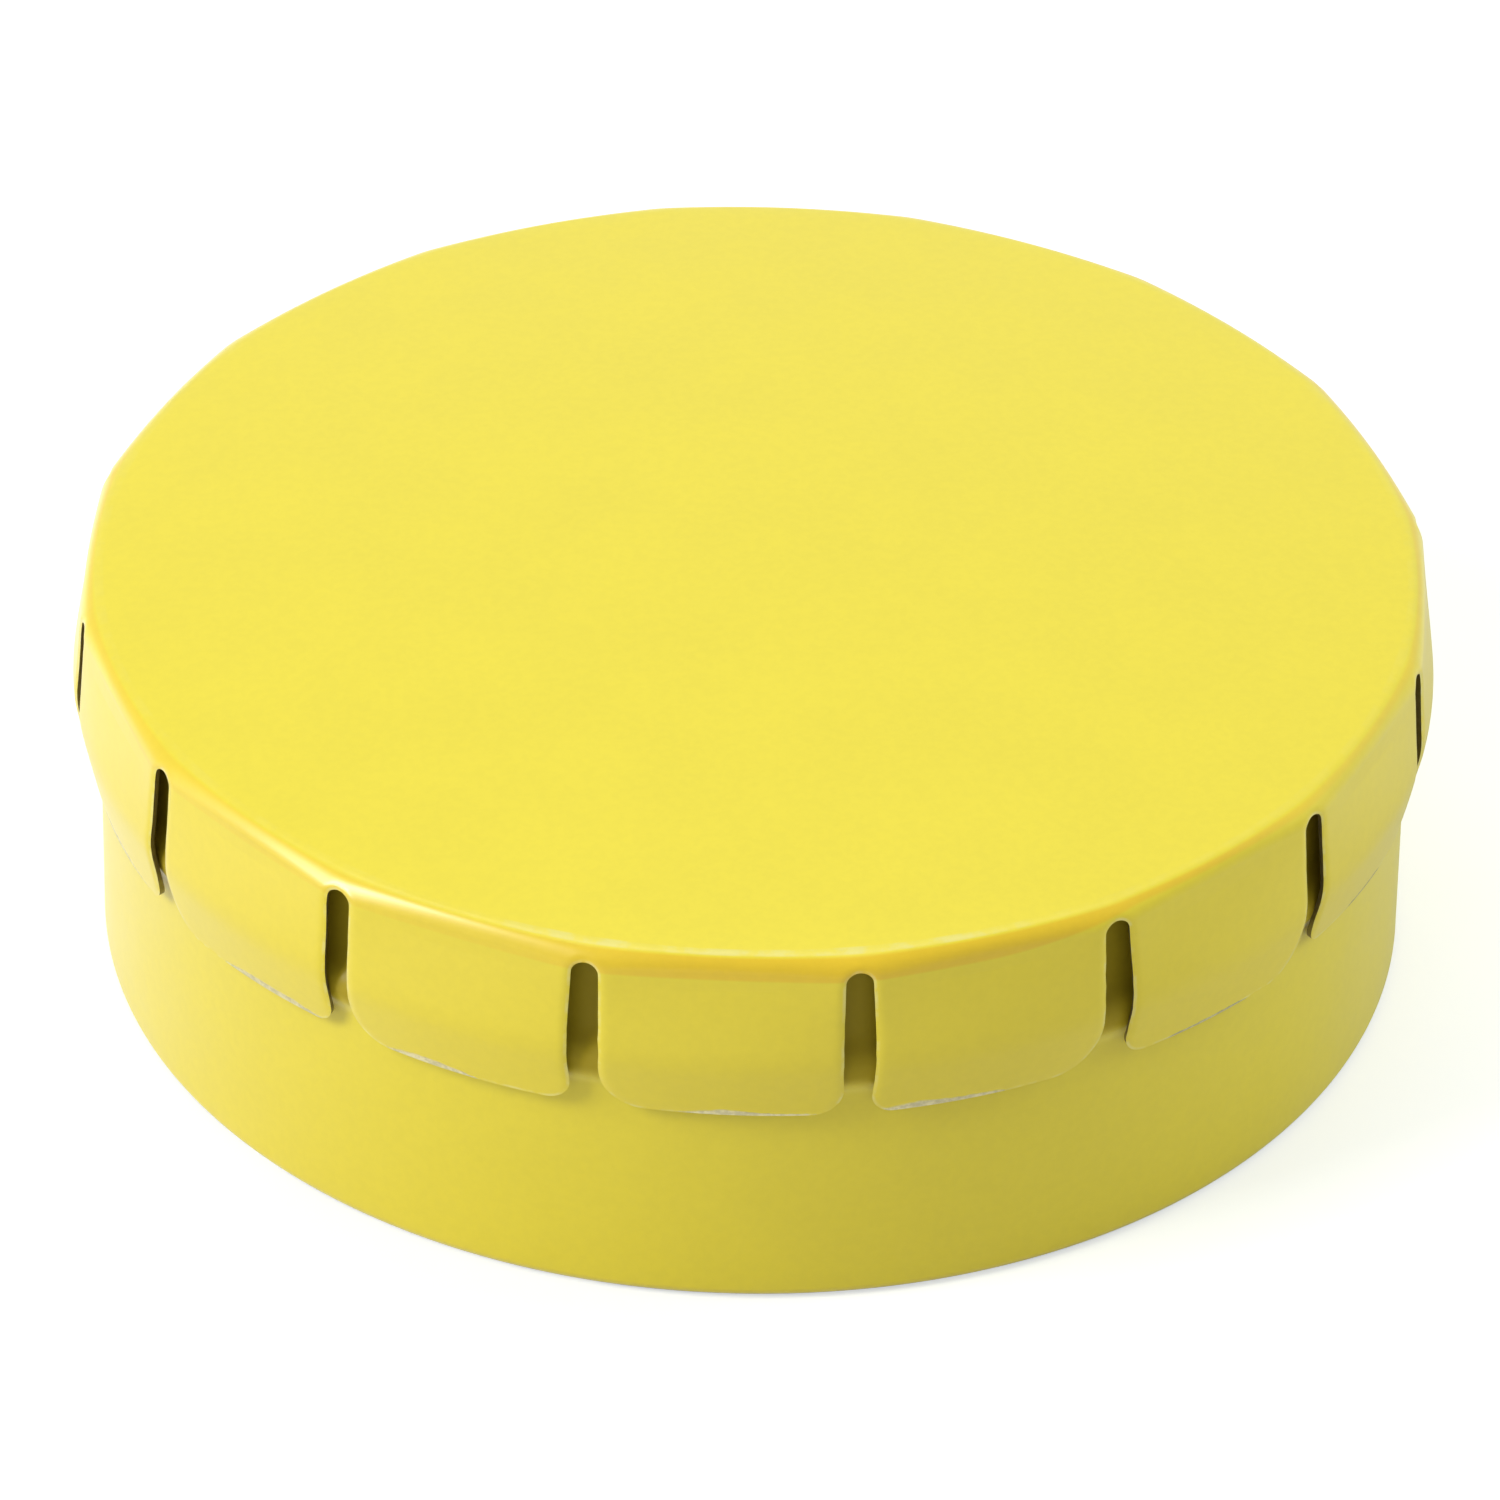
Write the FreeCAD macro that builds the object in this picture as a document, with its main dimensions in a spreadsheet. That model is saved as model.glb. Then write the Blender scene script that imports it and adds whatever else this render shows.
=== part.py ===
# A round press-to-open mint tin in thin tinplate.
# The can is a drawn cup with a recessed floor, a rounded ridge below a narrower neck, and a mouth curled inward.
# The lid is one drawn sheet, divided here at the lines along which it flexes: a domed panel that clicks through,
# a rounded shoulder that sits on the mouth, and a skirt of spring tabs that turn in under the ridge.
# The tin stands on the plane of X and Y, its axis is Z, and all lengths are in millimetres.

import FreeCAD, Part
import math
import os
import Sketcher
from FreeCAD import Placement, Rotation, Vector

# Driving sizes: lengths in millimetres, angles in degrees
SIZES = {
    "can_diameter": 48.4,
    "can_height": 15.15,
    "can_gauge": 0.23,
    "foot_radius": 0.5,
    "foot_ring_width": 2.2,
    "floor_recess": 0.4,
    "recess_radius": 0.5,
    "neck_inset": 0.15,
    "ridge_drop": 4.85,
    "ridge_projection": 0.45,
    "ridge_radius": 1.2,
    "ridge_root_radius": 1,
    "curl_radius": 0.5,
    "curl_turn": 250,
    "lid_gauge": 0.23,
    "seat_clearance": 0.02,
    "crown_radius": 0.8,
    "crown_overhang": 0.62,
    "dome_rise": 1.1,
    "bulge_radius": 4,
    "bulge_rise": 1,
    "bulge_clearance": 0.27,
    "hook_clearance": 0.27,
    "tab_reach": 1.66,
    "tab_count": 16,
    "tab_corner_radius": 1.3,
    "slot_width": 1.09,
    "fold_drop": 0.22,
    "fold_gap": 0.04,
    "panel_gap": 0.04,
    "panel_clearance": 0.35,
}

# Sizes that follow from the driving ones
CAN_RADIUS = "sizes.can_diameter / 2"
NECK_RADIUS = f"({CAN_RADIUS} - sizes.neck_inset)"
MOUTH_RADIUS = f"({NECK_RADIUS} - 2 * sizes.curl_radius)"
CURL_RADIAL = f"({NECK_RADIUS} - sizes.curl_radius)"
CURL_LEVEL = "(sizes.can_height - sizes.curl_radius)"
RIDGE_CREST = f"({CAN_RADIUS} + sizes.ridge_projection)"
RIDGE_RADIAL = f"({RIDGE_CREST} - sizes.ridge_radius)"
RIDGE_LEVEL = "(sizes.can_height - sizes.ridge_drop)"
FOOT_RING_INNER = f"({CAN_RADIUS} - sizes.foot_radius - sizes.foot_ring_width)"

# The lid's underside sits on the top of the mouth's curl, and the crown stands out beyond the can's wall
CROWN_RADIAL = f"({CAN_RADIUS} + sizes.crown_overhang - sizes.crown_radius)"
CROWN_LEVEL = "(sizes.can_height + sizes.seat_clearance + sizes.lid_gauge - sizes.crown_radius)"
LID_RADIUS = f"({RIDGE_CREST} + sizes.bulge_clearance + sizes.lid_gauge)"
BULGE_RADIAL = f"({LID_RADIUS} - sizes.bulge_radius)"
BULGE_LEVEL = f"({RIDGE_LEVEL} + sizes.bulge_rise)"
TIP_RADIUS = f"({CAN_RADIUS} + sizes.hook_clearance + sizes.lid_gauge)"
TIP_LEVEL = f"({RIDGE_LEVEL} - sizes.tab_reach)"

# The panel passes through the mouth when it is pressed, and the tabs fold just below the crown
PANEL_RADIUS = f"({MOUTH_RADIUS} - sizes.panel_clearance)"
TAB_PITCH = "(360 / sizes.tab_count)"
TAB_WIDTH = f"(2 * {LID_RADIUS} * sin(180 / sizes.tab_count) - sizes.slot_width)"
FOLD_RADIUS = f"({CROWN_RADIAL} + sizes.crown_radius)"
FOLD_LEVEL = f"({CROWN_LEVEL} - sizes.fold_drop)"
SLOT_END_RADIUS = f"({FOLD_RADIUS} * sin(180 / sizes.tab_count) - {TAB_WIDTH} / 2)"

# Ends of a piece of sketch geometry, and the sketch's own origin and axes
START, END, CENTRE = range(1, 4)
ORIGIN = (-1, 1)
HORIZONTAL_AXIS, VERTICAL_AXIS = range(-1, -3, -1)

doc = FreeCAD.newDocument("mint_tin")
sheet = doc.addObject("Spreadsheet::Sheet", "sizes")
for row, (alias, size) in enumerate(SIZES.items(), start=1):
    sheet.set(f"A{row}", alias)
    sheet.set(f"B{row}", str(size))
    sheet.setAlias(f"B{row}", alias)
doc.recompute()


def amount(expression):
    """The present value of an expression over the sheet."""
    return float(sheet.evalExpression(expression))


def on_circle(centre, radius, degrees):
    angle = math.radians(degrees)
    return Vector(centre.x + radius * math.cos(angle), centre.y + radius * math.sin(angle), 0)


def line(start, end):
    return Part.LineSegment(start, end)


def arc(centre, radius, start_degrees, end_degrees):
    circle = Part.Circle(centre, Vector(0, 0, 1), radius)
    return Part.ArcOfCircle(circle, math.radians(start_degrees), math.radians(end_degrees))


def bearing(start, end):
    """The direction from one point to another, in degrees."""
    return math.degrees(math.atan2(end.y - start.y, end.x - start.x))


class Outline:
    """A sketch whose pieces are drawn in place and then held by constraints bound to the sheet."""

    def __init__(self, name, rotation):
        self.sketch = doc.addObject("Sketcher::SketchObject", name)
        self.sketch.Placement = Placement(Vector(0, 0, 0), rotation)

    def add(self, geometry):
        return self.sketch.addGeometry(geometry, False)

    def hold(self, kind, *references):
        return self.sketch.addConstraint(Sketcher.Constraint(kind, *references))

    def size(self, kind, *references, expression):
        value = amount(expression)
        if kind == "Angle":
            value = math.radians(value)
            expression = f"({expression}) * 1 deg"
        index = self.sketch.addConstraint(Sketcher.Constraint(kind, *references, value))
        self.sketch.setExpression(f"Constraints[{index}]", expression)

    def across(self, piece, end, expression):
        """Sets an end's distance from the tin's axis."""
        self.size("DistanceX", *ORIGIN, piece, end, expression=expression)

    def above(self, piece, end, expression):
        """Sets an end's height above the table."""
        self.size("DistanceY", *ORIGIN, piece, end, expression=expression)

    def radius(self, piece, expression):
        self.size("Radius", piece, expression=expression)

    def tangent_chain(self, chain):
        """Joins pieces smoothly in order; each is given with the ends at which it is entered and left."""
        for (piece, _, leave), (following, enter, _) in zip(chain, chain[1:]):
            self.hold("Tangent", piece, leave, following, enter)

    def finish(self):
        doc.recompute()
        if not self.sketch.FullyConstrained:
            raise RuntimeError(f"{self.sketch.Name} is not held in full")
        return self.sketch


# Sketches of a half section lie in the plane of X and Z, those seen from outside in the plane of Y and Z
SECTION = Rotation(Vector(1, 0, 0), 90)
FRONT = Rotation(Vector(0, 1, 0), Vector(0, 0, 1), Vector(1, 0, 0), "ZXY")


def can_line():
    """The can's outside in half section, from the middle of the floor out and up to the end of the curl."""
    wall = amount(CAN_RADIUS)
    neck = amount(NECK_RADIUS)
    foot_radius = amount("sizes.foot_radius")
    recess = amount("sizes.floor_recess")
    recess_radius = amount("sizes.recess_radius")
    ridge_radius = amount("sizes.ridge_radius")
    root_radius = amount("sizes.ridge_root_radius")
    curl_radius = amount("sizes.curl_radius")
    ring_inner = amount(FOOT_RING_INNER)

    step_angle = math.degrees(math.acos(1 - recess / (2 * recess_radius)))
    floor_edge = ring_inner - 2 * recess_radius * math.sin(math.radians(step_angle))
    floor_bend = Vector(floor_edge, recess - recess_radius, 0)
    ring_bend = Vector(ring_inner, recess_radius, 0)
    foot = Vector(wall - foot_radius, foot_radius, 0)
    ridge = Vector(amount(RIDGE_RADIAL), amount(RIDGE_LEVEL), 0)
    bend_span = ridge_radius + root_radius
    low_offset = wall + root_radius - ridge.x
    high_offset = neck + root_radius - ridge.x
    low_root = Vector(wall + root_radius, ridge.y - math.sqrt(bend_span**2 - low_offset**2), 0)
    high_root = Vector(neck + root_radius, ridge.y + math.sqrt(bend_span**2 - high_offset**2), 0)
    curl = Vector(amount(CURL_RADIAL), amount(CURL_LEVEL), 0)
    low_angle = bearing(ridge, low_root)
    high_angle = bearing(ridge, high_root)

    outline = Outline("can_line", SECTION)
    floor_piece = outline.add(line(Vector(0, recess, 0), Vector(floor_edge, recess, 0)))
    step_down = outline.add(arc(floor_bend, recess_radius, 90 - step_angle, 90))
    step_out = outline.add(arc(ring_bend, recess_radius, 270 - step_angle, 270))
    ring_piece = outline.add(line(Vector(ring_inner, 0, 0), Vector(foot.x, 0, 0)))
    foot_piece = outline.add(arc(foot, foot_radius, 270, 360))
    wall_piece = outline.add(line(Vector(wall, foot.y, 0), Vector(wall, low_root.y, 0)))
    low_piece = outline.add(arc(low_root, root_radius, 180 + low_angle, 180))
    ridge_piece = outline.add(arc(ridge, ridge_radius, low_angle, high_angle))
    high_piece = outline.add(arc(high_root, root_radius, 180, 180 + high_angle))
    neck_piece = outline.add(line(Vector(neck, high_root.y, 0), Vector(neck, curl.y, 0)))
    curl_piece = outline.add(arc(curl, curl_radius, 0, amount("sizes.curl_turn")))

    outline.tangent_chain([
        (floor_piece, START, END),
        (step_down, END, START),
        (step_out, START, END),
        (ring_piece, START, END),
        (foot_piece, START, END),
        (wall_piece, START, END),
        (low_piece, END, START),
        (ridge_piece, START, END),
        (high_piece, END, START),
        (neck_piece, START, END),
        (curl_piece, START, END),
    ])
    outline.hold("PointOnObject", floor_piece, START, VERTICAL_AXIS)
    outline.hold("Horizontal", floor_piece)
    outline.above(floor_piece, START, "sizes.floor_recess")
    outline.radius(step_down, "sizes.recess_radius")
    outline.radius(step_out, "sizes.recess_radius")
    outline.across(ring_piece, START, FOOT_RING_INNER)
    outline.hold("PointOnObject", ring_piece, START, HORIZONTAL_AXIS)
    outline.hold("Horizontal", ring_piece)
    outline.radius(foot_piece, "sizes.foot_radius")
    outline.hold("Vertical", wall_piece)
    outline.across(wall_piece, START, CAN_RADIUS)
    outline.radius(low_piece, "sizes.ridge_root_radius")
    outline.radius(ridge_piece, "sizes.ridge_radius")
    outline.radius(high_piece, "sizes.ridge_root_radius")
    outline.across(ridge_piece, CENTRE, RIDGE_RADIAL)
    outline.above(ridge_piece, CENTRE, RIDGE_LEVEL)
    outline.hold("Vertical", neck_piece)
    outline.across(neck_piece, START, NECK_RADIUS)
    outline.radius(curl_piece, "sizes.curl_radius")
    outline.above(curl_piece, CENTRE, CURL_LEVEL)
    outline.size("Angle", curl_piece, expression="sizes.curl_turn")
    return outline.finish()


def lid_line():
    """The lid's outside in half section, from the middle of the dome out and down to the tabs' rough edge."""
    crown_radius = amount("sizes.crown_radius")
    bulge_radius = amount("sizes.bulge_radius")
    rise = amount("sizes.dome_rise")
    crown = Vector(amount(CROWN_RADIAL), amount(CROWN_LEVEL), 0)
    bulge = Vector(amount(BULGE_RADIAL), amount(BULGE_LEVEL), 0)
    tip = Vector(amount(TIP_RADIUS), amount(TIP_LEVEL), 0)

    rim_slope = 2 * math.degrees(math.atan(rise / crown.x))
    dome_radius = crown_radius + crown.x / math.sin(math.radians(rim_slope))
    dome = Vector(0, crown.y - (dome_radius - crown_radius) * math.cos(math.radians(rim_slope)), 0)
    bend_ratio = (crown_radius - bulge_radius) / crown.distanceToPoint(bulge)
    flare_angle = bearing(crown, bulge) + math.degrees(math.acos(bend_ratio))
    hook_angle = bearing(bulge, tip) + math.degrees(math.acos(bulge_radius / bulge.distanceToPoint(tip)))
    hook_start = on_circle(bulge, bulge_radius, hook_angle)
    hook_run = (hook_start.y - tip.y + amount("sizes.lid_gauge")) / (hook_start.y - tip.y)
    rough_edge = hook_start + (tip - hook_start) * hook_run

    outline = Outline("lid_line", SECTION)
    dome_piece = outline.add(arc(dome, dome_radius, 90 - rim_slope, 90))
    crown_piece = outline.add(arc(crown, crown_radius, flare_angle, 90 - rim_slope))
    flare_start = on_circle(crown, crown_radius, flare_angle)
    flare_piece = outline.add(line(flare_start, on_circle(bulge, bulge_radius, flare_angle)))
    bulge_piece = outline.add(arc(bulge, bulge_radius, hook_angle, flare_angle))
    hook_piece = outline.add(line(hook_start, rough_edge))
    tip_mark = outline.add(Part.Point(tip))

    outline.tangent_chain([
        (dome_piece, END, START),
        (crown_piece, END, START),
        (flare_piece, START, END),
        (bulge_piece, END, START),
        (hook_piece, START, END),
    ])
    outline.hold("PointOnObject", dome_piece, CENTRE, VERTICAL_AXIS)
    outline.hold("PointOnObject", dome_piece, END, VERTICAL_AXIS)
    outline.size("DistanceY", dome_piece, START, dome_piece, END, expression="sizes.dome_rise")
    outline.radius(crown_piece, "sizes.crown_radius")
    outline.across(crown_piece, CENTRE, CROWN_RADIAL)
    outline.above(crown_piece, CENTRE, CROWN_LEVEL)
    outline.radius(bulge_piece, "sizes.bulge_radius")
    outline.across(bulge_piece, CENTRE, BULGE_RADIAL)
    outline.above(bulge_piece, CENTRE, BULGE_LEVEL)
    outline.hold("PointOnObject", tip_mark, START, hook_piece)
    outline.across(tip_mark, START, TIP_RADIUS)
    outline.above(tip_mark, START, TIP_LEVEL)
    outline.above(hook_piece, END, f"{TIP_LEVEL} - sizes.lid_gauge")
    outline.sketch.setConstruction(tip_mark, True)
    return outline.finish()


def tab_outline():
    """A tab seen from outside: straight sides, a top at the fold, and rounded lower corners."""
    half = amount(TAB_WIDTH) / 2
    corner = amount("sizes.tab_corner_radius")
    top = amount(f"{FOLD_LEVEL} - sizes.fold_gap / 2")
    tip = amount(TIP_LEVEL)

    outline = Outline("tab_outline", FRONT)
    top_edge = outline.add(line(Vector(half, top, 0), Vector(-half, top, 0)))
    left_side = outline.add(line(Vector(-half, top, 0), Vector(-half, tip + corner, 0)))
    left_corner = outline.add(arc(Vector(corner - half, tip + corner, 0), corner, 180, 270))
    tip_edge = outline.add(line(Vector(corner - half, tip, 0), Vector(half - corner, tip, 0)))
    right_corner = outline.add(arc(Vector(half - corner, tip + corner, 0), corner, 270, 360))
    right_side = outline.add(line(Vector(half, tip + corner, 0), Vector(half, top, 0)))

    outline.tangent_chain([
        (left_side, START, END),
        (left_corner, START, END),
        (tip_edge, START, END),
        (right_corner, START, END),
        (right_side, START, END),
    ])
    outline.hold("Coincident", top_edge, END, left_side, START)
    outline.hold("Coincident", right_side, END, top_edge, START)
    outline.hold("Vertical", left_side)
    outline.hold("Horizontal", tip_edge)
    outline.hold("Vertical", right_side)
    outline.hold("Symmetric", top_edge, START, top_edge, END, VERTICAL_AXIS)
    outline.size("DistanceX", top_edge, END, top_edge, START, expression=TAB_WIDTH)
    outline.above(top_edge, START, f"{FOLD_LEVEL} - sizes.fold_gap / 2")
    outline.above(tip_edge, START, TIP_LEVEL)
    outline.radius(left_corner, "sizes.tab_corner_radius")
    outline.radius(right_corner, "sizes.tab_corner_radius")
    return outline.finish()


def slot_end_outline():
    """The round upper end of a slot, seen from outside."""
    outline = Outline("slot_end_outline", FRONT)
    middle = Vector(0, amount(FOLD_LEVEL), 0)
    circle = outline.add(Part.Circle(middle, Vector(0, 0, 1), amount(SLOT_END_RADIUS)))
    outline.hold("PointOnObject", circle, CENTRE, VERTICAL_AXIS)
    outline.above(circle, CENTRE, FOLD_LEVEL)
    outline.radius(circle, SLOT_END_RADIUS)
    return outline.finish()


def drawn_sheet(name, sketch, offset):
    """A line in half section, given the sheet's gauge and turned into a drawn shell."""
    section = doc.addObject("Part::Offset2D", f"{name}_section")
    section.Source = sketch
    section.Mode = "Skin"
    section.Join = "Intersection"
    section.Fill = True
    section.setExpression("Value", offset)
    shell = doc.addObject("Part::Revolution", name)
    shell.Source = section
    shell.Axis = Vector(0, 0, 1)
    shell.Base = Vector(0, 0, 0)
    shell.Angle = 360
    shell.Solid = True
    return shell


def drum(name, radius, level, height):
    """An upright cylinder about the tin's axis."""
    solid = doc.addObject("Part::Cylinder", name)
    solid.setExpression("Radius", radius)
    solid.setExpression("Height", height)
    solid.setExpression("Placement.Base.z", level)
    return solid


def outward(name, sketch):
    """An outline seen from outside, carried from the tin's axis out past the skirt."""
    solid = doc.addObject("Part::Extrusion", name)
    solid.Base = sketch
    solid.DirMode = "Normal"
    solid.Solid = True
    solid.setExpression("LengthFwd", f"{LID_RADIUS} + sizes.lid_gauge")
    return solid


def combine(kind, name, base, tool):
    result = doc.addObject(kind, name)
    result.Base = base
    result.Tool = tool
    return result


def turn(solid, angle):
    """Turns a solid about the tin's axis."""
    solid.Placement = Placement(Vector(0, 0, 0), Rotation(Vector(0, 0, 1), amount(angle)))
    solid.setExpression("Placement.Rotation.Angle", angle)


# Can
can = drawn_sheet("can", can_line(), "sizes.can_gauge")

# Lid, first as one sheet
lid_sheet = drawn_sheet("lid_sheet", lid_line(), "sizes.lid_gauge")
lid_space = f"({CROWN_LEVEL} + 2 * sizes.crown_radius + sizes.dome_rise)"

# Panel inside the shoulder
panel_drum = drum("panel_drum", PANEL_RADIUS, "0", lid_space)
lid_panel = combine("Part::Common", "lid_panel", lid_sheet, panel_drum)

# Shoulder round the panel and above the fold, with the round slot ends in its lower edge
fold_top = f"({FOLD_LEVEL} + sizes.fold_gap / 2)"
shoulder_drum = drum("shoulder_drum", LID_RADIUS, fold_top, f"{lid_space} - {fold_top}")
shoulder_hole = drum("shoulder_hole", f"{PANEL_RADIUS} + sizes.panel_gap", "0", lid_space)
shoulder_ring = combine("Part::Cut", "shoulder_ring", shoulder_drum, shoulder_hole)
shoulder_sheet = combine("Part::Common", "shoulder_sheet", lid_sheet, shoulder_ring)
tab_count = round(amount("sizes.tab_count"))
slot_end = slot_end_outline()
slot_ends = []
for number in range(tab_count):
    cutter = outward(f"slot_end_{number + 1:02d}", slot_end)
    turn(cutter, f"{TAB_PITCH} * {number}")
    slot_ends.append(cutter)
slot_end_set = doc.addObject("Part::MultiFuse", "slot_end_set")
slot_end_set.Shapes = slot_ends
lid_shoulder = combine("Part::Cut", "lid_shoulder", shoulder_sheet, slot_end_set)

# Tabs: the same blank is cut from the sheet and turned to each place between two slots
tab_blank = outward("tab_blank", tab_outline())
tabs = []
for number in range(tab_count):
    tab = combine("Part::Common", f"lid_tab_{number + 1:02d}", lid_sheet, tab_blank)
    turn(tab, f"{TAB_PITCH} * ({number} + 0.5)")
    tabs.append(tab)

doc.recompute()

pieces = [can, lid_panel, lid_shoulder] + tabs
for item in doc.Objects:
    if "Invalid" in item.State or "Error" in item.State:
        raise RuntimeError(f"{item.Name} failed: {item.State}")
for piece in pieces:
    if piece.Shape.isNull() or not piece.Shape.isValid() or len(piece.Shape.Solids) != 1:
        raise RuntimeError(f"{piece.Label} is not one valid solid")

os.makedirs("parts", exist_ok=True)
for piece in pieces:
    piece.Shape.exportStep(f"parts/{piece.Label}.step")
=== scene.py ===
"""Round press-to-open tin of lacquered tinplate: a drawn can and a sprung lid, laid out as an add-on."""

import math

import bpy
from bpy.props import FloatProperty, FloatVectorProperty, IntProperty, PointerProperty
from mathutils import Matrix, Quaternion, Vector


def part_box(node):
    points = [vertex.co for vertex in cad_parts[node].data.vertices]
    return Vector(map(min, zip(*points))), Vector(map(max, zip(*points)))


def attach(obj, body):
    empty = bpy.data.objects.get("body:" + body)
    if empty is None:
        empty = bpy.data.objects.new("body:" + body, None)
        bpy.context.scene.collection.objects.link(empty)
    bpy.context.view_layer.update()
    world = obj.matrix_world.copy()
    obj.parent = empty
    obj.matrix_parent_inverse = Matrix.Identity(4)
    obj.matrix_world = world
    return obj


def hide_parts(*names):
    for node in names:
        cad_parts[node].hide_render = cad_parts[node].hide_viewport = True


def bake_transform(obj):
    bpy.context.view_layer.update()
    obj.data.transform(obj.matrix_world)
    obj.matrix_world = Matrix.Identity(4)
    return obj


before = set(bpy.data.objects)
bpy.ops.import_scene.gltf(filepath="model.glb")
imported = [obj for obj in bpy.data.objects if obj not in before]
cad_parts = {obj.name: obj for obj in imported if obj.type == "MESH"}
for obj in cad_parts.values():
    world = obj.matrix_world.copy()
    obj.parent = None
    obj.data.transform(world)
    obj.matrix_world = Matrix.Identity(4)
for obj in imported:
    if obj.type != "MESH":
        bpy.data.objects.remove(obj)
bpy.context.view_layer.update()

bl_info = {
    "name": "Press-to-open tin",
    "version": (1, 0, 0),
    "blender": (4, 5, 0),
    "location": "View3D > Sidebar > Tin",
    "description": "Builds the can, the sprung lid and the studio of a small round tin",
    "category": "Object",
}

MM = 0.001
# Share of a tab's depth of curve by which the middle of its straightened fold stands in
FOLD_SHIFT = 0.6
# Vertices nearer than this are joined: where the sheet's two sides meet, and along the can's seam
SHEET_WELD = 1e-7
SEAM_WELD = 1e-6
# Edges of a mesh that bend more than this stay sharp
SHARP_ANGLE = math.radians(40)
CAN_SEGMENTS = 288
# Rows of a tab's mesh down to its lower corners, and round them
TAB_ROWS = 16
CORNER_ROWS = 22
# Length of a tab below the join over which it bends when it swings out
FLEX_LENGTH = 2.2 * MM
# By how much the distance to a tab's worn tip grows for each half width beyond the worn stretch
WEAR_FADE = 0.5 * MM
# How unevenly the tabs' sides were punched
UNEVENNESS = 0.10 * MM
FLOOR_RADIUS = 3.0
FLOOR_SIDES = 96

# The tabs that can be told apart, by number; lengths are in millimetres, left and right as seen from outside.
# How far a tab's tip stands out of true, and how far one side of it stands out more than the middle
TAB_SPLAY = {8: 0.06, 9: -0.02, 10: 0.02, 12: -0.03, 13: 0.03, 14: 0.10, 15: -0.08, 16: -0.12}
TAB_TWIST = {9: 0.05, 10: -0.06, 11: 0.05, 12: 0.04, 13: -0.04, 14: 0.04, 15: 0.06}

# How far its left and right sides bow out half way down
TAB_BOWS = {
    10: (0.02, 0.06),
    11: (0.03, -0.06),
    12: (-0.02, -0.01),
    13: (-0.07, 0.02),
    14: (-0.10, 0.02),
    15: (-0.06, 0.02),
}
# Where along its lower edge it is worn bare: the middle and half length, as shares of half its width
TAB_WEAR = {
    10: (0.30, 0.25),
    11: (-0.20, 0.25),
    12: (0.40, 0.35),
    13: (-0.40, 0.25),
    14: (-0.10, 0.45),
}
# Radii of its left and right lower corners
TAB_CORNERS = {
    8: (1.60, 1.00),
    9: (1.90, 0.70),
    10: (1.95, 0.75),
    11: (1.70, 1.00),
    12: (1.70, 1.15),
    13: (0.85, 1.95),
    14: (0.95, 1.90),
    15: (0.80, 1.80),
    16: (1.00, 1.60),
}
# The same for every other tab
OTHER_BOWS = (0.02, -0.03)
OTHER_CORNERS = (1.50, 1.20)
OTHER_WEAR = (0.0, 0.30)


# Sizes and finishes


def length(name, description, default):
    return FloatProperty(
        name=name, description=description, default=default, subtype="DISTANCE", unit="LENGTH"
    )


def lamp_power(name, default):
    return FloatProperty(name=name, description="Power in watts", default=default, unit="POWER")


def colour(name, description, default):
    return FloatVectorProperty(name=name, description=description, default=default, size=3, subtype="COLOR")


def angle(name, description, degrees):
    return FloatProperty(name=name, description=description, default=math.radians(degrees), subtype="ANGLE")


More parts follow.
